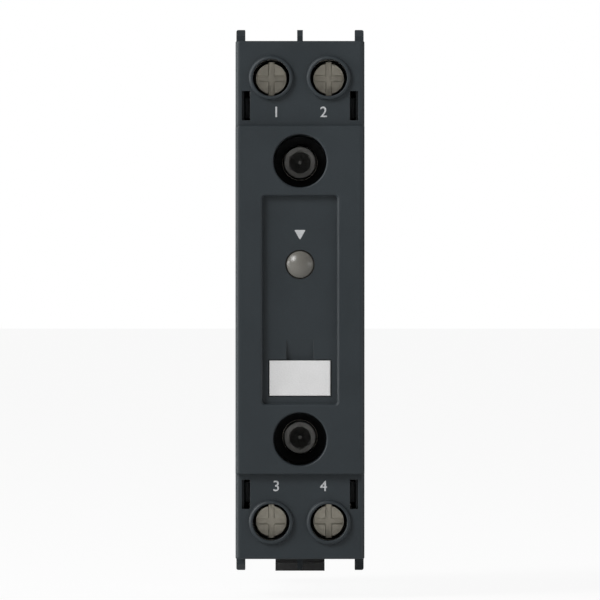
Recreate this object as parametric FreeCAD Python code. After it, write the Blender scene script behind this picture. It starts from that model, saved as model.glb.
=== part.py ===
"""Slim solid state relay on its own heat sink, for a 35 mm mounting rail.

Frame: X to the right, Y to the back, Z up, in millimetres. The origin is the middle of the
face that seats on the rail, so the relay stands in front of the plane y = 0.
A "depth" is always measured from the front face towards the back.
"""
import FreeCAD, Part
import math
import os

# ---- overall sizes
body_width = 22.4                 # one 22.5 mm rail module
body_height = 90.0
cover_depth = 18.2                # front face to the seam between cover and case
heat_sink_depth = 68.0
rail_foot_depth = 8.0

# ---- moulded cover
side_wall = 1.5
centre_wall = 2.8                 # front wall of the raised centre section
deck_wall = 2.0                   # front wall of the terminal decks
deck_drop = 1.5                   # the decks lie this far behind the centre section
side_round = 0.8
centre_end_round = 0.25
deck_end_round = 0.3
seam_chamfer = 0.25
slip_gap = 0.1                    # gap between fixed pieces that slip together

# ---- fixing wells, which reach the two screws that hold the relay on its heat sink
well_inset = 20.85                # well axis to the end of the body
well_bore = 4.6                   # all bores and screws are radii
well_wall = 1.2
well_mouth_round = 0.3
well_floor_thickness = 1.2
centre_margin = 6.1               # well axis to the step down to the deck, and to the panel

# ---- terminals
terminal_pitch = 10.0
terminal_inset = 6.4              # screw axis to the end of the body
collar_rise = 0.8
collar_outer = 3.87
collar_round = 0.45
collar_bore_round = 0.15
screw_bore = 3.2
screw_tube_wall = 0.75
screw_head = 2.95
screw_head_thickness = 2.2
screw_head_chamfer = 0.3
screw_head_sink = 8.6             # collar rim to the top of the head
screw_shank = 2.0
shank_fit = 0.08                  # radial play of the shank in its ledge
ledge_thickness = 0.9
slot_width = 1.05
slot_depth = 1.2
short_slot_length = 4.9

# ---- rising clamp cages and the bars that they clamp against
clamp_stroke = 4.6
nut_thickness = 2.0
nut_fit = 0.05
cage_width = 8.0
cage_height = 6.0
cage_side = 0.9
cage_floor = 1.0
cage_play = 0.1                   # cage to whatever stops it at either end
nut_to_bar_gap = 0.25
bar_width = 5.8
bar_thickness = 1.0
bar_outer_reach = 4.2             # bar beyond the screw axis, towards the wire
bar_inner_reach = 8.2             # bar on the other side of the screw axis
link_inner_x = 6.1                # the narrow link that passes beside the well
link_outer_x = 9.3
load_link_outer_x = 7.9
link_overlap = 1.0                # link under the flat of the bar
link_end = 0.9                    # link beyond the control pin's axis
chamber_floor_thickness = 2.8
mid_barrier = 1.0
wire_mouth_width = 7.2
wire_mouth_depth = 5.6
wire_mouth_funnel = 0.6

# ---- release slots in the decks, and the snap arms behind them
release_slot_width = 1.43
release_slot_height = 5.1
release_slot_edge = 1.1           # slot to the side of the body
release_slot_offset = 7.4         # terminal axis to the inner end of the slot
snap_arm_thickness = 0.75
snap_arm_height = 3.6
snap_arm_tip_depth = 6.0
snap_arm_gap = 0.2                # arm to the side wall
snap_arm_offset = 7.0             # terminal axis to the inner side of the arm
snap_nub = 0.7
snap_pocket_depth = 0.65
snap_pocket_top = 5.8
snap_pocket_length = 2.4

# ---- sunk panel with the status light and the marker
panel_width = 12.9
panel_depth = 1.2
panel_corner = 0.4
panel_mouth_round = 0.45
light_offset = 11.88              # light axis below the panel's upper edge
light_hole = 2.55
light_lens = 2.3
light_flange = 3.3
light_flange_thickness = 0.8
light_dome = 0.9
marker_width = 10.6
marker_height = 6.14
marker_thickness = 1.0
marker_offset = 4.47              # marker middle above the panel's lower edge
marker_gap = 0.15
marker_pocket_depth = 0.8
marker_peg = 0.6
marker_peg_pitch = 7.0
marker_peg_fit = 0.05
marker_seat_gap = 0.05
scoop_width = 4.72
scoop_length = 3.6

# ---- case behind the cover
lip_height = 1.4
lip_thickness = 0.6
tab_height = 2.43                 # wire partitions beyond the end of the body
tab_front_height = 1.4
tab_front_slope = 1.5
tab_outer_thickness = 1.52
tab_edge_gap = 0.03
tab_corner = 0.35
rib_top_below_seam = 3.3
cross_wall_thickness = 2.2

# ---- power stage
base_plate_thickness = 3.0
base_plate_margin = 6.65          # well axis to the end of the base plate
base_plate_ledge = 1.0
base_plate_hole = 2.2
thermal_pad_thickness = 0.2
substrate_width = 16.4
substrate_height = 23.0
substrate_thickness = 0.9
chip_size = 7.5
chip_thickness = 0.35
strap_thickness = 0.3
bar_foot_length = 6.0
bar_foot_overlap = 1.5
gate_pin = 0.35
control_pin = 0.5
control_pin_x = 7.8
gate_pin_inset = 1.2
gate_pin_pitch = 4.0

# ---- control board
capacitor_inset = 7.9
capacitor_thickness = 4.0
capacitor_half_width = 5.0
capacitor_height = 8.0
coupler_length = 8.6
coupler_half_width = 3.2
coupler_height = 3.4
board_part_gap = 0.8
board_depth = 9.0
board_thickness = 1.6
board_side_gap = 0.5
board_well_gap = 0.95             # board end to the outside of the well
post = 1.1
post_side_inset = 1.5
post_end_inset = 6.0
pin_hole_fit = 0.05
pin_stand = 0.5                   # pins stand this far through the board
control_pin_end_inset = 1.0

# ---- screws through the wells
module_screw_head = 3.0
module_screw_head_height = 4.0
module_screw_shank = 2.0
module_screw_reach = 9.0          # shank inside the heat sink
hex_flats = 3.7
hex_depth = 2.4
washer_outer = 2.95
washer_inner = 2.15
flat_washer_thickness = 0.8
spring_washer_thickness = 1.0
spring_washer_split = 0.6
tapped_hole_fit = 0.05
tapped_hole_extra = 1.0

# ---- heat sink
heat_sink_side_gap = 0.2
heat_sink_end_gap = 1.0
heat_sink_base = 8.0
heat_sink_spine = 6.0
heat_sink_rear = 5.0
fin_count = 12
fin_thickness = 1.4
fin_round = 0.4

# ---- 35 mm rail, the foot that hooks over it and its latch
rail_width = 35.0
rail_thickness = 1.0
rail_edge_gap = 0.2
rail_flange_gap = 0.15
hook_reach = 1.8
hook_lip = 2.25
hook_block = 6.3
relief_depth = 0.3
relief_width = 2.2
foot_screw_x = 8.0
foot_screw_top_z = 7.5
foot_screw_bottom_z = -30.0
foot_screw_head = 2.75
foot_screw_shank = 1.5
foot_screw_gap = 0.15
foot_screw_reach = 4.5
foot_recess_reach = 1.4
foot_recess_half = 0.3
foot_recess_depth = 0.8
latch_width = 9.04
latch_wing = 1.08
latch_wing_thickness = 1.6
latch_front = 5.8                 # wings' front face in front of the seat plane
latch_back = 0.3                  # latch's back face in front of the seat plane
latch_play = 0.18
latch_top_z = -12.5
latch_nose_block = 3.8
latch_tail = 5.83                 # handle below the foot
latch_lip_height = 1.53
latch_lip_front = 7.8
channel_top_z = -10.0
spring_wire = 0.3
spring_outer = 1.9
spring_turns = 6
spring_top_z = -26.0
spring_length = 12.0
peg_height = 2.0
window_half_width = 2.2

# ---- places that follow from the sizes above
side_x = body_width / 2
end_z = body_height / 2
inner_x = side_x - side_wall
inner_z = end_z - side_wall
well_z = end_z - well_inset
centre_z = well_z + centre_margin
panel_z = well_z - centre_margin
terminal_x = terminal_pitch / 2
terminal_z = end_z - terminal_inset
light_z = panel_z - light_offset
marker_z = marker_offset - panel_z
well_outer = well_bore + well_wall
screw_tube = screw_bore + screw_tube_wall

rim_depth = deck_drop - collar_rise
head_top_depth = rim_depth + screw_head_sink
ledge_top_depth = head_top_depth + screw_head_thickness + slip_gap / 2
ledge_bottom_depth = ledge_top_depth + ledge_thickness
nut_closed_depth = ledge_bottom_depth + cage_play
nut_open_depth = nut_closed_depth + clamp_stroke
bar_depth = nut_open_depth + nut_thickness + nut_to_bar_gap
bar_back_depth = bar_depth + bar_thickness
cage_window = bar_back_depth + cage_play - nut_closed_depth - nut_thickness
cage_open_back_depth = nut_open_depth + nut_thickness + cage_window + cage_floor
chamber_floor_depth = cage_open_back_depth + cage_play
module_depth = chamber_floor_depth + chamber_floor_thickness
front_y = -(module_depth + heat_sink_depth + rail_foot_depth)

plate_back_depth = module_depth - thermal_pad_thickness
plate_depth = plate_back_depth - base_plate_thickness
ledge_depth = plate_depth - well_floor_thickness
plate_x = inner_x - slip_gap
plate_z = well_z + base_plate_margin
cross_wall_z = plate_z - base_plate_ledge + slip_gap + cross_wall_thickness
substrate_depth = plate_depth - substrate_thickness
chip_depth = substrate_depth - chip_thickness
board_x = inner_x - board_side_gap
board_z = well_z - well_outer - board_well_gap
capacitor_top = board_z - capacitor_inset
capacitor_foot = capacitor_top - capacitor_thickness
coupler_top = capacitor_foot - board_part_gap
coupler_foot = coupler_top - coupler_length
board_back_depth = board_depth + board_thickness
snap_z = terminal_z - snap_arm_offset
snap_x = inner_x - snap_arm_gap
sink_x = side_x - heat_sink_side_gap
sink_z = end_z - heat_sink_end_gap
sink_rear_y = -rail_foot_depth
hook_root_z = rail_width / 2 + rail_edge_gap
hook_lip_z = hook_root_z - hook_reach
hook_lip_y = rail_thickness + rail_flange_gap
hook_back_y = hook_lip_y + hook_lip
wing_x = latch_width / 2 + latch_wing
peg_z = spring_top_z - spring_length

terminals = {
    1: (-terminal_x, terminal_z),
    2: (terminal_x, terminal_z),
    3: (-terminal_x, -terminal_z),
    4: (terminal_x, -terminal_z),
}


# ---- small modelling helpers
def depth(distance):
    """The y of a point that lies this far behind the front face."""
    return front_y + distance


def box(x0, x1, y0, y1, z0, z1):
    """A box between two corners, whichever way round each pair is given."""
    low = FreeCAD.Vector(min(x0, x1), min(y0, y1), min(z0, z1))
    return Part.makeBox(abs(x1 - x0), abs(y1 - y0), abs(z1 - z0), low)


def rod(x, z, y0, y1, radius):
    """A cylinder along Y."""
    return Part.makeCylinder(radius, y1 - y0, FreeCAD.Vector(x, y0, z), FreeCAD.Vector(0, 1, 0))


def cone(x, z, y0, y1, radius0, radius1):
    """A cone or taper along Y."""
    start = FreeCAD.Vector(x, y0, z)
    return Part.makeCone(radius0, radius1, y1 - y0, start, FreeCAD.Vector(0, 1, 0))


def ring(x, z, y0, y1, outer, inner):
    """A plain ring or tube along Y."""
    return rod(x, z, y0, y1, outer).cut(rod(x, z, y0, y1, inner))


def prism(points, direction):
    """A flat outline pushed along a vector."""
    corners = [FreeCAD.Vector(*point) for point in points]
    outline = Part.makePolygon(corners + corners[:1])
    return Part.Face(outline).extrude(FreeCAD.Vector(*direction))


def side_prism(depths_and_heights, x0, x1):
    """An outline in depth and height, pushed from x0 to x1."""
    points = [(x0, depth(distance), z) for distance, z in depths_and_heights]
    return prism(points, (x1 - x0, 0, 0))


def fused(shapes):
    """One solid from touching or overlapping shapes."""
    whole = shapes[0].fuse(shapes[1:]) if len(shapes) > 1 else shapes[0]
    return whole.removeSplitter()


def without(shape, tools):
    """A shape with several others cut away."""
    return shape.cut(tools).removeSplitter()


def edges_at(shape, **place):
    """Edges whose every point lies at the given coordinates, on either side of zero."""
    picked = []
    for edge in shape.Edges:
        middle = (edge.FirstParameter + edge.LastParameter) / 2
        points = [edge.valueAt(edge.FirstParameter), edge.valueAt(middle), edge.valueAt(edge.LastParameter)]
        off = [abs(abs(getattr(point, axis)) - abs(value)) for point in points
               for axis, value in place.items()]
        if max(off) < 0.001:
            picked.append(edge)
    return picked


def circles_at(shape, x, y, z, radius):
    """Round edges with the given centre and radius, in a plane across Y."""
    picked = []
    for edge in shape.Edges:
        curve = edge.Curve
        if not isinstance(curve, Part.Circle) or abs(curve.Radius - radius) > 0.001:
            continue
        if (curve.Center - FreeCAD.Vector(x, y, z)).Length < 0.001:
            picked.append(edge)
    return picked


def both_ends(shape):
    """A shape and its mirror image at the other end of the body."""
    return [shape, shape.mirror(FreeCAD.Vector(0, 0, 0), FreeCAD.Vector(0, 0, 1))]


def both_sides(shape):
    """A shape and its mirror image on the other side of the body."""
    return [shape, shape.mirror(FreeCAD.Vector(0, 0, 0), FreeCAD.Vector(1, 0, 0))]


def four_ways(shape):
    """A shape and its images in all four quarters of the front."""
    return [image for end in both_ends(shape) for image in both_sides(end)]


def save(name, *solids):
    """Write one sub-part, which may be several like solids."""
    shape = solids[0] if len(solids) == 1 else Part.makeCompound(list(solids))
    shape.exportStep("parts/" + name + ".step")


# ---- front cover
def cover_block():
    """The cover's outside: a raised centre section between two lower terminal decks."""
    centre = box(-side_x, side_x, depth(0), depth(cover_depth), -centre_z, centre_z)
    centre = centre.makeFillet(side_round, edges_at(centre, x=side_x, y=depth(0)))
    centre = centre.makeFillet(centre_end_round, edges_at(centre, y=depth(0), z=centre_z))
    deck = box(-side_x, side_x, depth(deck_drop), depth(cover_depth), -end_z, end_z)
    deck = deck.makeFillet(side_round, edges_at(deck, x=side_x, y=depth(deck_drop)))
    deck = deck.makeFillet(deck_end_round, edges_at(deck, y=depth(deck_drop), z=end_z))
    seam = edges_at(deck, x=side_x, y=depth(cover_depth)) + edges_at(deck, y=depth(cover_depth), z=end_z)
    return fused([centre, deck.makeChamfer(seam_chamfer, seam)])


def cover_hollow():
    """The space inside the cover, with a step at the seam for the case's lip."""
    rebate_x = inner_x + lip_thickness + slip_gap
    rebate_z = inner_z + lip_thickness + slip_gap
    rebate_depth = cover_depth - lip_height - 2 * slip_gap
    behind_decks = deck_drop + deck_wall
    return [
        box(-inner_x, inner_x, depth(centre_wall), depth(cover_depth), deck_wall - centre_z,
            centre_z - deck_wall),
        box(-inner_x, inner_x, depth(behind_decks), depth(cover_depth), -inner_z, inner_z),
        box(-rebate_x, rebate_x, depth(rebate_depth), depth(cover_depth), -rebate_z, rebate_z),
    ]


def collar():
    """The raised ring round one screw bore, at the upper right terminal."""
    blank = rod(terminal_x, terminal_z, depth(rim_depth), depth(deck_drop + deck_wall / 2), collar_outer)
    return blank.makeFillet(collar_round,
                            circles_at(blank, terminal_x, depth(rim_depth), terminal_z, collar_outer))


def panel_cuts():
    """The marker's pocket and peg holes, the nail scoop above it and the hole for the light."""
    half_width = marker_width / 2 + marker_gap
    half_height = marker_height / 2 + marker_gap
    pocket_depth = panel_depth + marker_pocket_depth
    scoop_top = marker_z + half_height + scoop_length
    pocket = box(-half_width, half_width, depth(0), depth(pocket_depth), marker_z - half_height,
                 marker_z + half_height)
    scoop = side_prism(
        [(panel_depth, scoop_top), (pocket_depth, marker_z + half_height),
         (panel_depth, marker_z + half_height)],
        -scoop_width / 2, scoop_width / 2)
    light = rod(0, light_z, depth(0), depth(centre_wall), light_hole)
    peg_hole = rod(marker_peg_pitch / 2, marker_z, depth(0), depth(centre_wall), marker_peg + marker_peg_fit)
    return [pocket, scoop, light] + both_sides(peg_hole)


def snap_pocket():
    """The catch pocket in the cover's side wall for one snap arm."""
    back = snap_pocket_top + snap_pocket_length
    top_z = snap_z + snap_arm_height + slip_gap
    return box(inner_x, inner_x + snap_pocket_depth, depth(snap_pocket_top), depth(back),
               snap_z - slip_gap, top_z)


def front_cover():
    """Moulded cover: wells, collared screw bores, sunk panel, release slots and inner posts."""
    block = cover_block()
    panel = box(-panel_width / 2, panel_width / 2, depth(0), depth(panel_depth), -panel_z, panel_z)
    panel = panel.makeFillet(panel_corner, edges_at(panel, x=panel_width / 2, z=panel_z))
    block = block.cut(panel)
    mouth = [edge for edge in edges_at(block, y=depth(0)) if abs(edge.CenterOfMass.x) <= panel_width / 2
             and abs(edge.CenterOfMass.z) <= panel_z]
    block = block.makeFillet(panel_mouth_round, mouth)
    wells = both_ends(rod(0, well_z, depth(0), depth(cover_depth), well_bore))
    block = block.cut(wells)
    mouths = [edge for z in (well_z, -well_z) for edge in circles_at(block, 0, depth(0), z, well_bore)]
    block = block.makeFillet(well_mouth_round, mouths)

    hollow = fused(cover_hollow())
    tubes = both_ends(rod(0, well_z, depth(centre_wall / 2), depth(cover_depth), well_outer))
    tubes += four_ways(rod(terminal_x, terminal_z, depth(deck_drop + deck_wall / 2),
                           depth(ledge_bottom_depth), screw_tube))
    barrier = box(-mid_barrier / 2, mid_barrier / 2, depth(deck_drop + deck_wall / 2), depth(cover_depth),
                  terminal_z - release_slot_offset + slip_gap, inner_z)
    posts = four_ways(
        rod(board_x - post_side_inset, board_z - post_end_inset, depth(centre_wall / 2),
            depth(board_depth), post))
    shell = fused([block.cut(hollow)] + tubes + both_ends(barrier) + posts + four_ways(collar()))

    bore = fused([
        rod(terminal_x, terminal_z, depth(0), depth(ledge_top_depth), screw_bore),
        rod(terminal_x, terminal_z, depth(0), depth(ledge_bottom_depth), screw_shank + shank_fit)])
    slot_x = side_x - release_slot_edge
    slot_z = terminal_z - release_slot_offset
    slot = box(slot_x - release_slot_width, slot_x, depth(0), depth(deck_drop + deck_wall), slot_z,
               slot_z + release_slot_height)
    shell = without(shell, wells + four_ways(bore) + four_ways(slot) + four_ways(snap_pocket())
                    + panel_cuts())
    rims = [edge for x, z in terminals.values()
            for edge in circles_at(shell, x, depth(rim_depth), z, screw_bore)]
    return shell.makeFillet(collar_bore_round, rims)


# ---- case behind the cover
def partition(x0, x1):
    """One upright partition between the wires at the upper end of the case."""
    front = cover_depth + 0.2
    return side_prism(
        [(front, inner_z), (front, end_z + tab_front_height), (front + tab_front_slope, end_z + tab_height),
         (module_depth, end_z + tab_height), (module_depth, inner_z)], x0, x1)


def outer_partition():
    """The right partition, with its outer corner rounded."""
    outer = side_x - tab_edge_gap
    blank = partition(outer - tab_outer_thickness, outer)
    return blank.makeFillet(tab_corner, edges_at(blank, x=outer, z=end_z + tab_height))


def wire_mouth():
    """The way in for one wire, with a funnel at its outer end."""
    x0 = terminal_x - wire_mouth_width / 2
    x1 = terminal_x + wire_mouth_width / 2
    y0 = depth(bar_back_depth - 0.4)
    y1 = depth(bar_back_depth - 0.4 + wire_mouth_depth)
    way = box(x0, x1, y0, y1, inner_z - 1, end_z + 1)
    lip = wire_mouth_funnel
    inner = [(x0, y0), (x1, y0), (x1, y1), (x0, y1)]
    outer = [(x0 - lip, y0 - lip), (x1 + lip, y0 - lip), (x1 + lip, y1 + lip), (x0 - lip, y1 + lip)]
    loops = []
    for corners, z in ((inner, end_z - lip), (outer, end_z)):
        points = [FreeCAD.Vector(x, y, z) for x, y in corners]
        loops.append(Part.makePolygon(points + points[:1]))
    return fused([way, Part.makeLoft(loops, True, True)])


def well_boss():
    """The lower part of a well inside the case, with its floor and the ribs that carry it."""
    boss = rod(0, well_z, depth(cover_depth), depth(plate_depth), well_outer)
    rib_top = depth(cover_depth + rib_top_below_seam)
    rib = box(-inner_x, inner_x, rib_top, depth(plate_depth), well_z - side_wall / 2, well_z + side_wall / 2)
    return [boss, rib]


def snap_arm():
    """The springy arm whose nub catches in the cover's side wall."""
    tip = depth(snap_arm_tip_depth)
    foot = depth(chamber_floor_depth + 0.5)
    arm = box(snap_x - snap_arm_thickness, snap_x, tip, foot, snap_z, snap_z + snap_arm_height)
    nub = prism(
        [(snap_x, tip, snap_z), (snap_x + snap_nub, tip + 0.8, snap_z),
         (snap_x + snap_nub, tip + 1.9, snap_z),
         (snap_x, tip + 2.1, snap_z)], (0, 0, snap_arm_height))
    return [arm, nub]


def module_case():
    """Moulded case: terminal chambers, wire partitions, well bosses and the base plate's seat."""
    block = box(-side_x, side_x, depth(cover_depth), depth(module_depth), -end_z, end_z)
    seam = edges_at(block, x=side_x, y=depth(cover_depth)) + edges_at(block, y=depth(cover_depth), z=end_z)
    block = block.makeChamfer(seam_chamfer, seam)
    hollow = [box(-inner_x, inner_x, depth(cover_depth), depth(ledge_depth), -inner_z, inner_z)]
    hollow += both_ends(
        box(-inner_x, inner_x, depth(ledge_depth) - 1, depth(chamber_floor_depth), cross_wall_z, inner_z))
    lip_x = inner_x + lip_thickness
    lip_z = inner_z + lip_thickness
    lip = box(-lip_x, lip_x, depth(cover_depth - lip_height), depth(cover_depth) + 1, -lip_z, lip_z)
    lip = lip.cut(box(-inner_x, inner_x, depth(0), depth(cover_depth) + 2, -inner_z, inner_z))

    shelf_z = terminal_z - bar_inner_reach + 1.6
    pieces = [block.cut(hollow), lip]
    pieces += both_ends(fused(well_boss()))
    mid_wall = box(-mid_barrier / 2, mid_barrier / 2, depth(cover_depth), depth(module_depth) - 1,
                   cross_wall_z - 1, end_z)
    pieces += both_ends(fused([mid_wall, partition(-mid_barrier / 2, mid_barrier / 2)]))
    pieces += four_ways(outer_partition())
    pieces += four_ways(box(terminal_x - 2, terminal_x + 2, depth(bar_back_depth),
                            depth(chamber_floor_depth) + 1,
                            shelf_z, shelf_z + 2.5))
    pieces += four_ways(fused(snap_arm()))
    seat_x = plate_x - base_plate_ledge
    seat_z = plate_z - base_plate_ledge + slip_gap
    cuts = both_ends(rod(0, well_z, depth(0), depth(ledge_depth), well_bore))
    cuts += both_ends(rod(0, well_z, depth(0), depth(plate_depth), washer_outer + 0.15))
    cuts += four_ways(wire_mouth())
    cuts.append(box(-plate_x - slip_gap, plate_x + slip_gap, depth(plate_depth), depth(module_depth),
                    -plate_z - slip_gap, plate_z + slip_gap))
    opening = box(-seat_x, seat_x, depth(ledge_depth), depth(plate_depth), -seat_z, seat_z)
    opening = opening.cut(both_ends(fused(well_boss())))
    return without(fused(pieces), cuts + [opening])


# ---- clamping parts of the terminals
def terminal_screw(x, z):
    """Cheese-head screw with a crossed slot, held endways by the cover's ledge."""
    top = depth(head_top_depth)
    under_head = top + screw_head_thickness
    head = rod(x, z, top, under_head, screw_head)
    head = head.makeChamfer(screw_head_chamfer, circles_at(head, x, top, z, screw_head))
    shank = rod(x, z, under_head, depth(bar_depth) - slip_gap / 2, screw_shank)
    half_slot = slot_width / 2
    long_slot = box(x - half_slot, x + half_slot, top, top + slot_depth, z - screw_head, z + screw_head)
    short_slot = box(x - short_slot_length / 2, x + short_slot_length / 2, top, top + slot_depth,
                     z - half_slot, z + half_slot)
    return without(fused([head, shank]), [long_slot, short_slot])


def clamp_cage(x, z):
    """Box clamp that rises on its screw and presses the wire against the bar, shown open."""
    top = depth(nut_open_depth)
    window_front = top + nut_thickness
    half_inner = cage_width / 2 - cage_side
    half_height = cage_height / 2
    block = box(x - cage_width / 2, x + cage_width / 2, top, depth(cage_open_back_depth),
                z - half_height, z + half_height)
    block = block.makeFillet(0.5, edges_at(block, x=x + cage_width / 2, y=depth(cage_open_back_depth))
                             + edges_at(block, x=x - cage_width / 2, y=depth(cage_open_back_depth)))
    window = box(x - half_inner, x + half_inner, window_front, window_front + cage_window,
                 z - half_height, z + half_height)
    thread = rod(x, z, top, window_front, screw_shank + nut_fit)
    return without(block, [window, thread])


def clamp_bar():
    """The flat under the upper right screw and the narrow link beside the well."""
    front = depth(bar_depth)
    back = depth(bar_back_depth)
    flat = box(terminal_x - bar_width / 2, terminal_x + bar_width / 2, front, back,
               terminal_z - bar_inner_reach, terminal_z + bar_outer_reach)
    return front, back, flat


def control_bar():
    """Upper right bar, which ends in a pin up to the control board."""
    front, back, flat = clamp_bar()
    pin_z = board_z - control_pin_end_inset
    link = box(link_inner_x, link_outer_x, front, back, pin_z - link_end,
               terminal_z - bar_inner_reach + link_overlap)
    pin = rod(control_pin_x, pin_z, depth(board_depth) - pin_stand, back, control_pin)
    return fused([flat, link, pin])


def load_bar():
    """Upper right image of a bar that steps down to a foot on the power substrate."""
    front, back, flat = clamp_bar()
    foot_end = substrate_height / 2 - bar_foot_overlap
    drop_z = foot_end + bar_foot_length
    tile = depth(substrate_depth)
    link_z = terminal_z - bar_inner_reach + link_overlap
    link = box(link_inner_x, load_link_outer_x, front, back, drop_z - bar_thickness, link_z)
    drop = box(link_inner_x, load_link_outer_x, front, tile, drop_z - bar_thickness, drop_z)
    foot = box(link_inner_x, load_link_outer_x, tile - bar_thickness, tile, foot_end, drop_z)
    return fused([flat, link, drop, foot])


# ---- electronics
def control_board():
    """Board on the cover's four posts, with holes for the control pins and the gate pins."""
    board = box(-board_x, board_x, depth(board_depth), depth(board_back_depth), -board_z, board_z)
    pin_z = board_z - control_pin_end_inset
    back = depth(board_back_depth)
    holes = both_sides(rod(control_pin_x, pin_z, depth(0), back, control_pin + pin_hole_fit))
    holes += [rod(x, z, depth(0), back, gate_pin + pin_hole_fit) for x, z in gate_pin_places()]
    return without(board, holes)


def gate_pin_places():
    """Where the four gate pins stand on the substrate."""
    x = substrate_width / 2 - gate_pin_inset
    z = gate_pin_pitch / 2
    return [(x, z), (x, -z), (-x, z), (-x, -z)]


def gate_pins():
    """Straight pins from the substrate up through the control board."""
    return [rod(x, z, depth(board_depth) - pin_stand, depth(substrate_depth), gate_pin)
            for x, z in gate_pin_places()]


def thyristor_chips():
    """The two bare switching chips on the substrate."""
    half = chip_size / 2
    return both_ends(box(-half, half, depth(chip_depth), depth(substrate_depth), 1.2, 1.2 + chip_size))


def chip_straps():
    """Copper straps from the chips' front faces out to the substrate's edges."""
    front = depth(chip_depth) - strap_thickness
    top = box(-2.0, 2.0, front, depth(chip_depth), 3.0, 1.2 + chip_size + 1.0)
    leg = box(-2.0, 2.0, front, depth(substrate_depth), 1.2 + chip_size + 0.4, 1.2 + chip_size + 1.0)
    return both_ends(fused([top, leg]))


def light_pipe():
    """Frosted lens with a domed front and a flange behind the panel."""
    lens_front = depth(panel_depth)
    flange_front = depth(centre_wall)
    sphere_radius = (light_lens ** 2 + light_dome ** 2) / (2 * light_dome)
    sphere = Part.makeSphere(sphere_radius,
                             FreeCAD.Vector(0, lens_front - light_dome + sphere_radius, light_z))
    barrel = rod(0, light_z, lens_front - light_dome, flange_front + light_flange_thickness, light_lens)
    dome = sphere.common(rod(0, light_z, lens_front - light_dome, lens_front, light_lens))
    straight = barrel.common(rod(0, light_z, lens_front, flange_front + light_flange_thickness, light_lens))
    flange = rod(0, light_z, flange_front, flange_front + light_flange_thickness, light_flange)
    return fused([dome, straight, flange])


def status_led():
    """Round 3 mm indicator on the control board, just behind the lens."""
    front = centre_wall + light_flange_thickness + 1.3
    rim = board_depth - 1.0
    body = fused([
        rod(0, light_z, depth(front + 1.0), depth(board_depth), 1.5),
        rod(0, light_z, depth(rim), depth(board_depth), 1.9),
        Part.makeSphere(1.5, FreeCAD.Vector(0, depth(front + 1.5), light_z)).common(
            rod(0, light_z, depth(front - 1), depth(front + 1.5), 1.5))])
    return body


def axial_resistor(z, length, radius):
    """A resistor lying across the back of the control board."""
    middle = depth(board_back_depth + radius)
    body = Part.makeCylinder(radius, length, FreeCAD.Vector(-length / 2, middle, z), FreeCAD.Vector(1, 0, 0))
    lead = 0.3
    leads = [box(side * length / 2, side * (length / 2 + 1.2), middle - lead, middle + lead, z - lead,
                 z + lead) for side in (-1, 1)]
    legs = [box(side * (length / 2 + 0.6), side * (length / 2 + 1.2), depth(board_back_depth),
                middle + lead, z - lead, z + lead)
            for side in (-1, 1)]
    return fused([body] + leads + legs)


def varistor():
    """Disc that clips voltage peaks, standing on edge behind the board."""
    radius = 3.4
    disc = Part.makeCylinder(radius, 3.0,
                             FreeCAD.Vector(0, depth(board_back_depth + radius + 0.6), -board_z + 1.9),
                             FreeCAD.Vector(0, 0, 1))
    legs = [box(x - 0.3, x + 0.3, depth(board_back_depth), depth(board_back_depth + 1.8),
                -board_z + 3.1, -board_z + 3.7)
            for x in (-1.8, 1.8)]
    return fused([disc] + legs)


# ---- fixings between relay and heat sink
def module_screw(z):
    """Socket-head screw down one well, with a drilled-out hexagon socket."""
    head_front = depth(plate_depth - flat_washer_thickness - spring_washer_thickness - module_screw_head_height)
    head_back = head_front + module_screw_head_height
    head = rod(0, z, head_front, head_back, module_screw_head)
    head = head.makeFillet(0.35, circles_at(head, 0, head_front, z, module_screw_head))
    shank = rod(0, z, head_back, depth(module_depth + module_screw_reach), module_screw_shank)
    corner = hex_flats / math.sqrt(3)
    hexagon = [(corner * math.sin(math.radians(60 * i)), head_front,
                z + corner * math.cos(math.radians(60 * i)))
               for i in range(6)]
    socket = prism(hexagon, (0, hex_depth, 0))
    point = cone(0, z, head_front + hex_depth, head_front + hex_depth + 0.6, hex_flats / 2, 0.3)
    return without(fused([head, shank]), [socket, point])


def flat_washer(z):
    """Plain washer on the base plate."""
    return ring(0, z, depth(plate_depth - flat_washer_thickness), depth(plate_depth), washer_outer,
                washer_inner)


def spring_washer(z):
    """Split washer under the screw's head."""
    back = depth(plate_depth - flat_washer_thickness)
    front = back - spring_washer_thickness
    whole = ring(0, z, front, back, washer_outer - 0.1, washer_inner)
    split = box(washer_inner - 0.5, washer_outer + 0.5, front, back, z - spring_washer_split / 2,
                z + spring_washer_split / 2)
    return whole.cut(split)


def base_plate():
    """Nickel-plated copper plate that spreads the heat, with two fixing holes."""
    plate = box(-plate_x, plate_x, depth(plate_depth), depth(plate_back_depth), -plate_z, plate_z)
    return plate.cut(both_ends(rod(0, well_z, depth(0), depth(module_depth), base_plate_hole)))


def thermal_pad():
    """Thin pad between the base plate and the heat sink."""
    pad = box(-plate_x, plate_x, depth(plate_back_depth), depth(module_depth), -plate_z, plate_z)
    return pad.cut(both_ends(rod(0, well_z, depth(0), depth(module_depth), base_plate_hole)))


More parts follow.
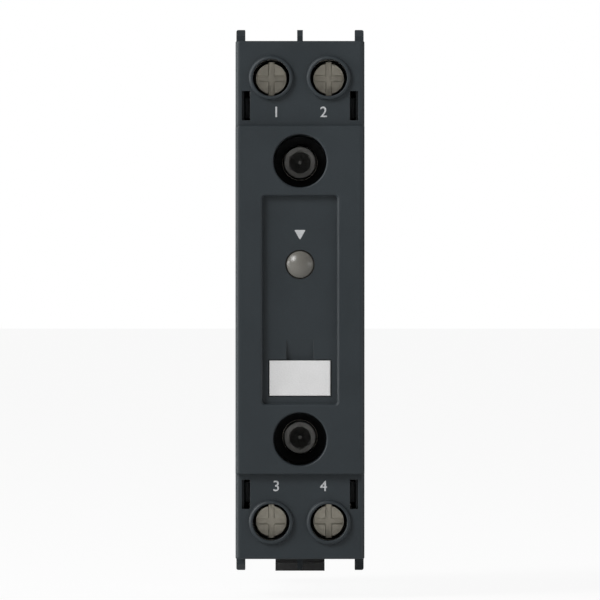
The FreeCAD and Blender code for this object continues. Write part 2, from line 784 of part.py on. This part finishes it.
def heat_sink():
    """Extrusion: a thick base, a spine with fins to both sides, and a rear plate for the foot."""
    front = depth(module_depth)
    base_back = front + heat_sink_base
    rear_front = sink_rear_y - heat_sink_rear
    base = box(-sink_x, sink_x, front, base_back, -sink_z, sink_z)
    rear = box(-sink_x, sink_x, rear_front, sink_rear_y, -sink_z, sink_z)
    spine = box(-heat_sink_spine / 2, heat_sink_spine / 2, front + 1, sink_rear_y - 1, -sink_z, sink_z)
    fin_gap = (rear_front - base_back - fin_count * fin_thickness) / (fin_count + 1)
    fins = []
    for i in range(fin_count):
        fin_front = base_back + fin_gap + i * (fin_gap + fin_thickness)
        fin = box(-sink_x, sink_x, fin_front, fin_front + fin_thickness, -sink_z, sink_z)
        fins.append(fin.makeFillet(fin_round, edges_at(fin, x=sink_x, y=fin_front)
                                   + edges_at(fin, x=sink_x, y=fin_front + fin_thickness)))
    block = fused([base, rear, spine] + fins)
    block = block.makeChamfer(fin_round, edges_at(block, x=sink_x, y=front))
    tapped_depth = module_screw_reach + tapped_hole_extra
    holes = both_ends(rod(0, well_z, front, front + tapped_depth, module_screw_shank + tapped_hole_fit))
    holes += [rod(x, z, rear_front, sink_rear_y, foot_screw_shank + tapped_hole_fit)
              for x, z in foot_screw_places()]
    return without(block, holes)


# ---- rail foot and latch
def rail_foot():
    """Moulded foot: a fixed hook over the rail's upper flange and a T-shaped channel for the latch."""
    front = -rail_foot_depth
    top = hook_root_z + hook_block
    plate = box(-sink_x, sink_x, front, 0, -sink_z, top)
    hook = box(-sink_x, sink_x, -1, hook_back_y, hook_root_z, top - 2.0)
    lip = box(-sink_x, sink_x, hook_lip_y, hook_back_y, hook_lip_z, hook_root_z)
    body = fused([plate, hook, lip])
    body = body.makeChamfer(0.6, edges_at(body, y=hook_back_y, z=hook_lip_z)
                            + edges_at(body, y=hook_back_y, z=top - 2.0))
    relief = box(-sink_x, sink_x, -relief_depth, 0, hook_root_z - relief_width + 0.2, hook_root_z)
    neck = latch_width / 2 + latch_play
    wing = wing_x + latch_play + 0.02
    wing_back = latch_front - latch_wing_thickness
    neck_cut = box(-neck, neck, -wing_back, 0, -sink_z, channel_top_z)
    wing_cut = box(-wing, wing, -latch_front - latch_play, -wing_back + latch_play, -sink_z, channel_top_z)
    body = without(body, both_ends(relief) + [neck_cut, wing_cut])
    peg = box(-1.6, 1.6, front + 1, -latch_back - 1, peg_z - peg_height, peg_z)
    hole = foot_screw_shank + foot_screw_gap
    sink = foot_screw_head + foot_screw_gap
    holes = []
    for x, z in foot_screw_places():
        holes.append(fused([rod(x, z, front, 0, hole), cone(x, z, hole - sink, 0, hole, sink)]))
    return without(fused([body, peg]), holes)


def foot_screw_places():
    """The four screws between the foot and the heat sink."""
    return [(x, z) for x in (-foot_screw_x, foot_screw_x) for z in (foot_screw_top_z, foot_screw_bottom_z)]


def foot_screw(x, z):
    """Countersunk screw from the foot into the heat sink's rear plate."""
    head = cone(x, z, foot_screw_shank - foot_screw_head, 0, foot_screw_shank, foot_screw_head)
    shank = rod(x, z, -rail_foot_depth - foot_screw_reach, foot_screw_shank - foot_screw_head,
                foot_screw_shank)
    long, narrow = foot_recess_reach, foot_recess_half
    recess = [box(x - long, x + long, -foot_recess_depth, 0, z - narrow, z + narrow),
              box(x - narrow, x + narrow, -foot_recess_depth, 0, z - long, z + long)]
    return without(fused([head, shank]), recess)


def rail_latch():
    """Sliding latch: T-shaped runner, nose under the rail's lower flange and a finger tail."""
    half = latch_width / 2
    wing_back = latch_front - latch_wing_thickness
    tail_z = -sink_z - latch_tail
    runner = box(-half, half, -latch_front, -latch_back, tail_z, latch_top_z)
    wings = box(-wing_x, wing_x, -latch_front, -wing_back, -sink_z, latch_top_z)
    nose = box(-half, half, -1, hook_back_y, -hook_root_z - latch_nose_block, -hook_root_z)
    tip = box(-half, half, hook_lip_y, hook_back_y, -hook_root_z, -hook_lip_z)
    lip = box(-half, half, -latch_lip_front, -latch_front + 1, tail_z, tail_z + latch_lip_height)
    body = fused([runner, wings, nose, tip, lip])
    lead = edges_at(body, y=hook_back_y, z=hook_lip_z) + edges_at(body, y=hook_back_y,
                                                                  z=hook_root_z + latch_nose_block)
    body = body.makeChamfer(1.1, lead)
    window_bottom = peg_z - peg_height - 0.2
    window = box(-window_half_width, window_half_width, -latch_front, 0, window_bottom, spring_top_z)
    return without(body, [window])


def latch_spring():
    """Coil spring between the foot's peg and the upper end of the latch's window."""
    mean = spring_outer - spring_wire
    span = spring_length - 2 * spring_wire - 0.1
    helix = Part.makeHelix(span / spring_turns, span, mean)
    start = FreeCAD.Vector(mean, 0, 0)
    section = Part.Wire(Part.makeCircle(spring_wire, start, FreeCAD.Vector(0, 1, 0)))
    coil = Part.Wire(helix).makePipeShell([section], True, True)
    coil.translate(FreeCAD.Vector(0, -(latch_front + latch_back) / 2, peg_z + spring_wire + 0.05))
    return coil


def marker_plate():
    """Blank push-in marker with two pegs on its back."""
    back = depth(panel_depth + marker_pocket_depth - marker_seat_gap)
    front = back - marker_thickness
    half_width = marker_width / 2
    half_height = marker_height / 2
    plate = box(-half_width, half_width, front, back, marker_z - half_height, marker_z + half_height)
    plate = plate.makeFillet(0.15, edges_at(plate, y=front))
    peg = rod(marker_peg_pitch / 2, marker_z, back - marker_thickness / 2, depth(centre_wall), marker_peg)
    return fused([plate] + both_sides(peg))


# ---- write every sub-part
os.makedirs("parts", exist_ok=True)
save("front_cover", front_cover())
save("module_case", module_case())
for number, (x, z) in terminals.items():
    save("terminal_screw_" + str(number), terminal_screw(x, z))
    save("clamp_cage_" + str(number), clamp_cage(x, z))
control_right, control_left = both_sides(control_bar())
save("control_bar_left", control_left)
save("control_bar_right", control_right)
load_right, load_left = both_sides(both_ends(load_bar())[1])
save("load_bar_left", load_left)
save("load_bar_right", load_right)
save("light_pipe", light_pipe())
save("status_led", status_led())
save("control_board", control_board())
save("optocoupler", box(-coupler_half_width, coupler_half_width, depth(board_back_depth),
                         depth(board_back_depth + coupler_height), coupler_foot, coupler_top))
save("gate_resistors", axial_resistor(board_z - 3.0, 6.0, 1.1), axial_resistor(board_z - 6.0, 6.0, 1.1))
save("snubber_capacitor", box(-capacitor_half_width, capacitor_half_width, depth(board_back_depth),
                               depth(board_back_depth + capacitor_height), capacitor_foot, capacitor_top))
save("varistor", varistor())
save("power_substrate", box(-substrate_width / 2, substrate_width / 2, depth(substrate_depth),
                            depth(plate_depth),
                            -substrate_height / 2, substrate_height / 2))
save("thyristor_chips", *thyristor_chips())
save("chip_straps", *chip_straps())
save("gate_pins", *gate_pins())
save("base_plate", base_plate())
save("thermal_pad", thermal_pad())
save("module_screws", *[module_screw(z) for z in (well_z, -well_z)])
save("spring_washers", *[spring_washer(z) for z in (well_z, -well_z)])
save("flat_washers", *[flat_washer(z) for z in (well_z, -well_z)])
save("heat_sink", heat_sink())
save("rail_foot", rail_foot())
save("rail_foot_screws", *[foot_screw(x, z) for x, z in foot_screw_places()])
save("rail_latch", rail_latch())
save("latch_spring", latch_spring())
save("marker_plate", marker_plate())
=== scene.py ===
"""Looks of a slim rail-mounted solid state relay. Lengths are metres: X right, Y back, Z up."""
import math
import bpy
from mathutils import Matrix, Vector


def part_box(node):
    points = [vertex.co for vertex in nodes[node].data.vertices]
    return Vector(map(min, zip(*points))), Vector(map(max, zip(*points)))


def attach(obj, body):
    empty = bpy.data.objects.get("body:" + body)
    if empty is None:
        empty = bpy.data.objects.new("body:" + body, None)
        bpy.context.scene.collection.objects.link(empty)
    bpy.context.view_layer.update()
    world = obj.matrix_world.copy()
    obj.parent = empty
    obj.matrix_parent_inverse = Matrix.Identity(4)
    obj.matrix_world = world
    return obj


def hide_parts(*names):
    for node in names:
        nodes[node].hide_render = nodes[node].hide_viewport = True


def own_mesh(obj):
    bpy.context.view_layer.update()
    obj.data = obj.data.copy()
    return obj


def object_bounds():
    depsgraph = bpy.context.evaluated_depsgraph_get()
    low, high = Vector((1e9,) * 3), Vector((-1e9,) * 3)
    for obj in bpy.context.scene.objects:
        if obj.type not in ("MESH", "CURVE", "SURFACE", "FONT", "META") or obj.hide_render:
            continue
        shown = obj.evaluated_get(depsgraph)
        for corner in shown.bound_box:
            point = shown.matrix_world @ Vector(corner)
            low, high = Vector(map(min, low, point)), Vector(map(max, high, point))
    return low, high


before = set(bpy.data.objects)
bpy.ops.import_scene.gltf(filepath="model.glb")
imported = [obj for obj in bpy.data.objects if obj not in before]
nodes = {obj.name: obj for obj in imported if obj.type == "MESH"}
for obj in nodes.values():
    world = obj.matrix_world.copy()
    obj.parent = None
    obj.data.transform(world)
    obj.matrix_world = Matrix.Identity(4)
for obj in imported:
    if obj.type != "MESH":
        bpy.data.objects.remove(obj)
cad_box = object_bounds()
MM = 0.001


# ---- Camera: level with the middle of the front and square to it, through a long lens,
# as for a catalogue view. The front face is the lowest y of the cover.
front_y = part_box("front_cover")[0][1]
camera_distance = 1599.2 * MM
bpy.ops.object.camera_add(location=(0, front_y - camera_distance, 0), rotation=(math.radians(90), 0, 0))
camera = bpy.context.object
camera.data.lens = 553
camera.data.sensor_width = 36
camera.data.clip_end = 20
bpy.context.scene.camera = camera
bpy.context.scene.view_settings.view_transform = "Standard"


# ---- Studio: soft lamps high on the left, level on the left and weak on the right, in pale
# surroundings. The relay stands just over a flat white floor, which partly glows to the camera.
def aim(lamp, target):
    """Turns a lamp to face a point."""
    lamp.rotation_euler = (Vector(target) - lamp.location).to_track_quat("-Z", "Y").to_euler()


def soft_lamp(name, place, size, watts):
    """A square lamp that faces the middle of the relay's depth."""
    bpy.ops.object.light_add(type="AREA", location=place)
    lamp = bpy.context.object
    lamp.name = name
    lamp.data.size = size
    lamp.data.energy = watts
    aim(lamp, (0, -0.05, 0))


def shader(name):
    """A new material, with its tree and its surface shader."""
    material = bpy.data.materials.new(name)
    material.use_nodes = True
    tree = material.node_tree
    return material, tree, tree.nodes["Principled BSDF"]


def add(tree, kind, links=(), **settings):
    """Adds a node, sets its properties, and links or sets the inputs named in links."""
    made = tree.nodes.new(kind)
    for key, value in settings.items():
        setattr(made, key, value)
    for socket, value in dict(links).items():
        if isinstance(value, bpy.types.NodeSocket):
            tree.links.new(value, made.inputs[socket])
        else:
            made.inputs[socket].default_value = value
    return made


soft_lamp("key_lamp", (-1.1, -1.15, 1.0), 0.7, 25)
soft_lamp("left_lamp", (-1.5, -0.25, 0.1), 0.8, 22)
soft_lamp("right_lamp", (1.3, -0.9, -0.1), 0.8, 6)

world = bpy.data.worlds.new("pale_room")
bpy.context.scene.world = world
world.use_nodes = True
room = world.node_tree
paths = add(room, "ShaderNodeLightPath")
seen = add(room, "ShaderNodeMath", {0: paths.outputs["Is Camera Ray"],
                                    1: paths.outputs["Is Transmission Ray"]}, operation="MAXIMUM")
level = add(room, "ShaderNodeMapRange", {0: seen.outputs[0], 3: 0.3, 4: 1.0})
room.nodes["Background"].inputs["Color"].default_value = (1, 1, 1, 1)
room.links.new(level.outputs[0], room.nodes["Background"].inputs["Strength"])

floor_gap = 2 * MM
floor_z = cad_box[0][2] - floor_gap
bpy.ops.object.select_all(action="DESELECT")
bpy.ops.mesh.primitive_plane_add(size=30, location=(0, 0, floor_z))
floor = bpy.context.object
floor.name = "floor"
bpy.ops.object.transform_apply(location=True)
floor_paint, tree, surface = shader("floor_paint")
surface.inputs["Base Color"].default_value = (0.9, 0.9, 0.9, 1)
surface.inputs["Roughness"].default_value = 0.8
glow = add(tree, "ShaderNodeEmission", {"Color": (1, 1, 1, 1), "Strength": 1.0})
glow_share = 0.92
paths = add(tree, "ShaderNodeLightPath")
share = add(tree, "ShaderNodeMath", {0: paths.outputs["Is Camera Ray"], 1: glow_share}, operation="MULTIPLY")
mixed = add(tree, "ShaderNodeMixShader", {0: share.outputs[0], 1: surface.outputs[0], 2: glow.outputs[0]})
tree.links.new(mixed.outputs[0], tree.nodes["Material Output"].inputs["Surface"])
floor.data.materials.append(floor_paint)


# ---- Rail foot: one moulding of black glass-filled plastic, screwed to the heat sink's rear
# plate, with a fixed hook above. Fine spark-eroded texture all over and edges rubbed pale.
def wear_at_edges(tree, coordinates, radius):
    """A rounded normal for sharp edges, and a broken mask that is 1 on those edges."""
    rounded = add(tree, "ShaderNodeBevel", {"Radius": radius}, samples=4)
    flat = add(tree, "ShaderNodeNewGeometry")
    cosine = add(tree, "ShaderNodeVectorMath", {0: rounded.outputs[0], 1: flat.outputs["True Normal"]},
                 operation="DOT_PRODUCT")
    edge = add(tree, "ShaderNodeMapRange", {0: cosine.outputs["Value"], 1: 0.99, 2: 0.8, 3: 0.0, 4: 1.0})
    patches = add(tree, "ShaderNodeTexNoise", {"Vector": coordinates, "Scale": 700.0, "Detail": 3.0})
    mask = add(tree, "ShaderNodeMath", {0: edge.outputs[0], 1: patches.outputs[0]}, operation="MULTIPLY")
    return rounded.outputs[0], mask.outputs[0]


def moulded_plastic(name, colour, roughness=0.5, grain=5200.0, depth=0.012, wear=0.35, gloss=0.3):
    """Moulded plastic: eroded-tool grain, faint flow clouds, worn edges."""
    material, tree, surface = shader(name)
    place = add(tree, "ShaderNodeTexCoord").outputs["Object"]
    surface.inputs["Specular IOR Level"].default_value = gloss
    rounded, worn = wear_at_edges(tree, place, 0.12 * MM)
    clouds = add(tree, "ShaderNodeTexNoise", {"Vector": place, "Scale": 90.0, "Detail": 4.0})
    tone = add(tree, "ShaderNodeMapRange", {0: clouds.outputs[0], 1: 0.3, 2: 0.7, 3: 0.92, 4: 1.08})
    specks = add(tree, "ShaderNodeTexNoise", {"Vector": place, "Scale": grain, "Detail": 2.0})
    fleck = add(tree, "ShaderNodeMapRange", {0: specks.outputs[0], 1: 0.3, 2: 0.7, 3: 0.93, 4: 1.07})
    both = add(tree, "ShaderNodeMath", {0: tone.outputs[0], 1: fleck.outputs[0]}, operation="MULTIPLY")
    shade = add(tree, "ShaderNodeVectorMath", {0: tuple(colour), "Scale": both.outputs[0]}, operation="SCALE")
    pale = tuple(0.75 * part + 0.25 * 0.5 for part in colour) + (1,)
    amount = add(tree, "ShaderNodeMath", {0: worn, 1: wear}, operation="MULTIPLY")
    paint = add(tree, "ShaderNodeMix", {0: amount.outputs[0], 6: shade.outputs[0], 7: pale}, data_type="RGBA")
    tree.links.new(paint.outputs[2], surface.inputs["Base Color"])
    rough = add(tree, "ShaderNodeMapRange", {0: clouds.outputs[0], 1: 0.3, 2: 0.7, 3: roughness - 0.05,
                                             4: roughness + 0.05})
    tree.links.new(rough.outputs[0], surface.inputs["Roughness"])
    bump = add(tree, "ShaderNodeBump", {"Height": specks.outputs[0], "Strength": 0.35, "Distance": depth * MM,
                                        "Normal": rounded})
    tree.links.new(bump.outputs[0], surface.inputs["Normal"])
    return material


def finish(material, *names):
    """Gives CAD nodes their material."""
    for name in names:
        held = nodes[name].data.materials
        held.clear()
        held.append(material)


foot_plastic = moulded_plastic("foot_plastic", (0.017, 0.017, 0.018), roughness=0.55, depth=0.02)
finish(foot_plastic, "rail_foot")


# ---- Latch: a smoother black moulding that slides in the foot's channel. Its tail shows
# below the body, with a lip to pull it down by.
latch_plastic = moulded_plastic("latch_plastic", (0.021, 0.021, 0.021), roughness=0.42, depth=0.006)
finish(latch_plastic, "rail_latch")


# ---- Screws of the foot: bright zinc-plated steel, countersunk, with fine scratches on
# their heads and a cross recess.
def plated_metal(name, colour, roughness=0.3, scale=2600.0, stretch=(1, 1, 1), depth=0.004, cloud=0.1):
    """Plated or bare metal: directional scratches, cloudy plating, bright edges."""
    material, tree, surface = shader(name)
    place = add(tree, "ShaderNodeTexCoord").outputs["Object"]
    rounded, worn = wear_at_edges(tree, place, 0.1 * MM)
    drawn = add(tree, "ShaderNodeMapping", {"Vector": place, "Scale": stretch})
    lines = add(tree, "ShaderNodeTexNoise", {"Vector": drawn.outputs[0], "Scale": scale, "Detail": 3.0})
    clouds = add(tree, "ShaderNodeTexNoise", {"Vector": drawn.outputs[0], "Scale": 260.0, "Detail": 4.0})
    tone = add(tree, "ShaderNodeMapRange", {0: clouds.outputs[0], 1: 0.3, 2: 0.7, 3: 1 - cloud, 4: 1 + cloud})
    shade = add(tree, "ShaderNodeVectorMath", {0: tuple(colour), "Scale": tone.outputs[0]}, operation="SCALE")
    bright = tuple(min(1.0, part * 1.35) for part in colour) + (1,)
    amount = add(tree, "ShaderNodeMath", {0: worn, 1: 0.5}, operation="MULTIPLY")
    paint = add(tree, "ShaderNodeMix", {0: amount.outputs[0], 6: shade.outputs[0], 7: bright},
                data_type="RGBA")
    tree.links.new(paint.outputs[2], surface.inputs["Base Color"])
    surface.inputs["Metallic"].default_value = 1.0
    rough = add(tree, "ShaderNodeMapRange", {0: lines.outputs[0], 1: 0.3, 2: 0.7, 3: roughness - 0.07,
                                             4: roughness + 0.07})
    tree.links.new(rough.outputs[0], surface.inputs["Roughness"])
    bump = add(tree, "ShaderNodeBump", {"Height": lines.outputs[0], "Strength": 0.4, "Distance": depth * MM,
                                        "Normal": rounded})
    tree.links.new(bump.outputs[0], surface.inputs["Normal"])
    return material


finish(plated_metal("foot_screw_steel", (0.55, 0.55, 0.56)), "rail_foot_screws")


# ---- Latch spring: six turns of drawn steel wire that push the latch up against the rail.
# It stands on the foot's peg and shortens as the latch is pulled down.
wire_radius = 0.3 * MM
wire_facets = 14
spring_low, spring_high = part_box("latch_spring")
spring_middle = [(low + high) / 2 for low, high in zip(spring_low, spring_high)]
coil_radius = 1.6 * MM
coil_turns = 6
coil_bottom = -38.0 * MM
coil_top = -26.0 * MM
coil_end_gap = 0.05 * MM
steps_per_turn = 40
bpy.ops.object.select_all(action="DESELECT")
bpy.ops.mesh.primitive_circle_add(vertices=wire_facets, radius=wire_radius,
                                  rotation=(math.radians(90), 0, 0),
                                  location=(coil_radius, 0, wire_radius + coil_end_gap))
spring = bpy.context.object
spring.name = "latch_spring_wire"
bpy.ops.object.transform_apply(location=True, rotation=True)
turn = spring.modifiers.new("turns", "SCREW")
turn.axis = "Z"
turn.steps = steps_per_turn
turn.render_steps = steps_per_turn
turn.iterations = coil_turns
turn.screw_offset = (coil_top - coil_bottom - 2 * wire_radius - 2 * coil_end_gap) / coil_turns
bpy.ops.object.modifier_apply(modifier="turns")
bpy.ops.object.mode_set(mode="EDIT")
bpy.ops.mesh.select_all(action="DESELECT")
bpy.ops.mesh.select_mode(type="EDGE")
bpy.ops.mesh.select_non_manifold()
bpy.ops.mesh.edge_face_add()
bpy.ops.mesh.select_all(action="SELECT")
bpy.ops.mesh.normals_make_consistent(inside=False)
bpy.ops.object.mode_set(mode="OBJECT")
bpy.ops.object.shade_smooth_by_angle(angle=math.radians(50))
spring.location = (spring_middle[0], spring_middle[1], coil_bottom)
bpy.ops.object.transform_apply(location=True)
spring.data.materials.append(plated_metal("spring_steel", (0.42, 0.42, 0.43), roughness=0.28))
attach(spring, "root")
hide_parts("latch_spring")
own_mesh(spring)


# ---- Heat sink: natural anodised aluminium, extruded upright and sawn to length, so faint die
# lines run from top to bottom on every face.
finish(plated_metal("sink_aluminium", (0.66, 0.67, 0.68), roughness=0.38, scale=1900.0, stretch=(1, 1, 0.02),
                    depth=0.008, cloud=0.05), "heat_sink")


# ---- Power stage: nickel-plated base plate on a grey pad, white ceramic tile with two chips,
# copper straps and brass pins. All of it is closed in by the case.
finish(plated_metal("plate_nickel", (0.62, 0.59, 0.53), roughness=0.3), "base_plate")
finish(moulded_plastic("pad_rubber", (0.45, 0.46, 0.48), roughness=0.7), "thermal_pad")
finish(moulded_plastic("substrate_ceramic", (0.8, 0.79, 0.75), roughness=0.6, wear=0.0), "power_substrate")
finish(plated_metal("chip_silicon", (0.25, 0.26, 0.3), roughness=0.15), "thyristor_chips")
copper = plated_metal("bar_copper", (0.72, 0.52, 0.38), roughness=0.32, stretch=(1, 1, 0.05))
finish(copper, "chip_straps", "control_bar_left", "control_bar_right", "load_bar_left", "load_bar_right")
finish(plated_metal("pin_brass", (0.7, 0.55, 0.25), roughness=0.3), "gate_pins")


# ---- Case: slate-grey moulding that carries the power stage and the clamps. Wire partitions
# stand out beyond both ends.
slate = (0.0188, 0.0247, 0.0288)
finish(moulded_plastic("case_plastic", slate, roughness=0.47), "module_case")


# ---- Clamps: zinc-plated box cages that rise on their screws, and terminal screws of warm
# nickel-plated steel with turned heads. Each head's rings are centred on its own axis.
cage_steel = plated_metal("cage_steel", (0.55, 0.54, 0.5), roughness=0.34)
finish(cage_steel, "clamp_cage_1", "clamp_cage_2", "clamp_cage_3", "clamp_cage_4")


def turned_metal(name, node, colour, roughness, ring_pitch):
    """Plated metal whose face carries the rings of a lathe tool, round the node's own middle."""
    material = plated_metal(name, colour, roughness=roughness)
    tree = material.node_tree
    surface = tree.nodes["Principled BSDF"]
    low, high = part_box(node)
    centre = [-(a + b) / 2 for a, b in zip(low, high)]
    place = add(tree, "ShaderNodeTexCoord").outputs["Object"]
    moved = add(tree, "ShaderNodeMapping", {"Vector": place, "Location": (centre[0], 0, centre[2])})
    pitch_at_scale_one = 0.314
    ring_scale = pitch_at_scale_one / ring_pitch
    rings = add(tree, "ShaderNodeTexWave", {"Vector": moved.outputs[0], "Scale": ring_scale,
                                            "Distortion": 0.6, "Detail": 1.0}, wave_type="RINGS",
                rings_direction="Y")
    scratched = surface.inputs["Normal"].links[0].from_socket
    bump = add(tree, "ShaderNodeBump", {"Height": rings.outputs["Fac"], "Strength": 0.45,
                                        "Distance": 0.01 * MM, "Normal": scratched})
    tree.links.new(bump.outputs[0], surface.inputs["Normal"])
    return material


for number in (1, 2, 3, 4):
    screw = "terminal_screw_%d" % number
    finish(turned_metal("nickel_%d" % number, screw, (0.56, 0.525, 0.44), 0.38, 0.16 * MM), screw)


# ---- Control board: green laminate with an optocoupler, resistors, film capacitor, varistor
# and indicator, behind the cover's front wall.
finish(moulded_plastic("board_laminate", (0.02, 0.12, 0.05), roughness=0.35, wear=0.1), "control_board")
finish(moulded_plastic("component_black", (0.015, 0.015, 0.015), roughness=0.45), "optocoupler")
finish(moulded_plastic("resistor_coat", (0.42, 0.28, 0.15), roughness=0.4), "gate_resistors")
finish(moulded_plastic("capacitor_case", (0.55, 0.42, 0.06), roughness=0.35), "snubber_capacitor")
finish(moulded_plastic("varistor_coat", (0.03, 0.09, 0.3), roughness=0.35), "varistor")
finish(moulded_plastic("led_resin", (0.5, 0.5, 0.45), roughness=0.2), "status_led")


# ---- Front cover: slate-grey moulding with a fine satin texture, a raised middle, collars
# round the screw bores and a sunk panel. It clips over the case.
finish(moulded_plastic("cover_plastic", slate, roughness=0.47), "front_cover")


# ---- Terminal numbers: plain digits printed in light grey ink on the two decks, beside the
# collars. A thin film of ink stands on the plastic.
deck_y = front_y + 1.5 * MM
digit_size = 2.6 * MM
stroke_swell = 0.02 * MM
ink_depth = 0.03 * MM
ink = moulded_plastic("print_ink", (0.42, 0.43, 0.44), roughness=0.6, wear=0.0)


def print_on(mark):
    """Settles a flat mark as a film of ink on the cover."""
    bpy.ops.object.select_all(action="DESELECT")
    mark.select_set(True)
    bpy.context.view_layer.objects.active = mark
    bpy.ops.object.transform_apply(location=True, rotation=True, scale=True)
    mark.data.materials.clear()
    mark.data.materials.append(ink)
    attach(mark, "root")


digit_places = {"1": (-4.12, 32.56), "2": (4.11, 32.56), "3": (-4.12, -32.4), "4": (4.11, -32.4)}
for digit, (x, z) in digit_places.items():
    bpy.ops.object.text_add(location=(x * MM, deck_y, z * MM), rotation=(math.radians(90), 0, 0))
    mark = bpy.context.object
    mark.name = "number_" + digit
    mark.data.body = digit
    mark.data.size = digit_size
    mark.data.offset = stroke_swell
    mark.data.align_x = "CENTER"
    mark.data.align_y = "CENTER"
    mark.data.extrude = ink_depth / 2
    bpy.ops.object.select_all(action="DESELECT")
    mark.select_set(True)
    bpy.ops.object.convert(target="MESH")
    print_on(bpy.context.object)


# ---- Status mark: a small plain triangle with round corners, printed on the sunk panel in
# the same ink. It points at the light.
panel_y = front_y + 1.2 * MM
pointer_z = 11.6 * MM
pointer_radius = 1.15 * MM
pointer_corner = 0.18 * MM
bpy.ops.object.select_all(action="DESELECT")
bpy.ops.mesh.primitive_circle_add(vertices=3, radius=pointer_radius, fill_type="NGON",
                                  rotation=(math.radians(-90), 0, 0),
                                  location=(0, panel_y + ink_depth / 2, pointer_z))
pointer = bpy.context.object
pointer.name = "light_pointer"
bpy.ops.object.mode_set(mode="EDIT")
bpy.ops.mesh.select_all(action="SELECT")
bpy.ops.mesh.bevel(offset=pointer_corner, segments=3, affect="VERTICES")
bpy.ops.mesh.extrude_region_move(TRANSFORM_OT_translate={"value": (0, -ink_depth, 0)})
bpy.ops.mesh.select_all(action="SELECT")
bpy.ops.mesh.normals_make_consistent(inside=False)
bpy.ops.object.mode_set(mode="OBJECT")
print_on(pointer)


# ---- Fixing screws: dull zinc-plated socket-head screws at the bottom of the wells, on split
# and flat washers.
finish(plated_metal("module_screw_steel", (0.36, 0.355, 0.34), roughness=0.45), "module_screws")
# The washers get a near-black colour as painted shade: it stands in for the dark at the bottom of the deep
# wells round the screw heads, not for the colour of their plating.
finish(plated_metal("washer_steel", (0.1, 0.1, 0.1), roughness=0.5), "spring_washers", "flat_washers")


# ---- Status light: frosted grey lens with a domed face, moulded in one with its light pipe
# and pushed through the panel from behind.
lens_resin = moulded_plastic("lens_resin", (0.125, 0.12, 0.106), roughness=0.3, depth=0.002, wear=0.0,
                             gloss=0.5)
finish(lens_resin, "light_pipe")


# ---- Marker: blank white plate that snaps into the panel by two pegs. It takes a plain finish
# so that it can be written on.
marker_plastic = moulded_plastic("marker_plastic", (0.6, 0.6, 0.6), roughness=0.55, depth=0.004, wear=0.0)
finish(marker_plastic, "marker_plate")
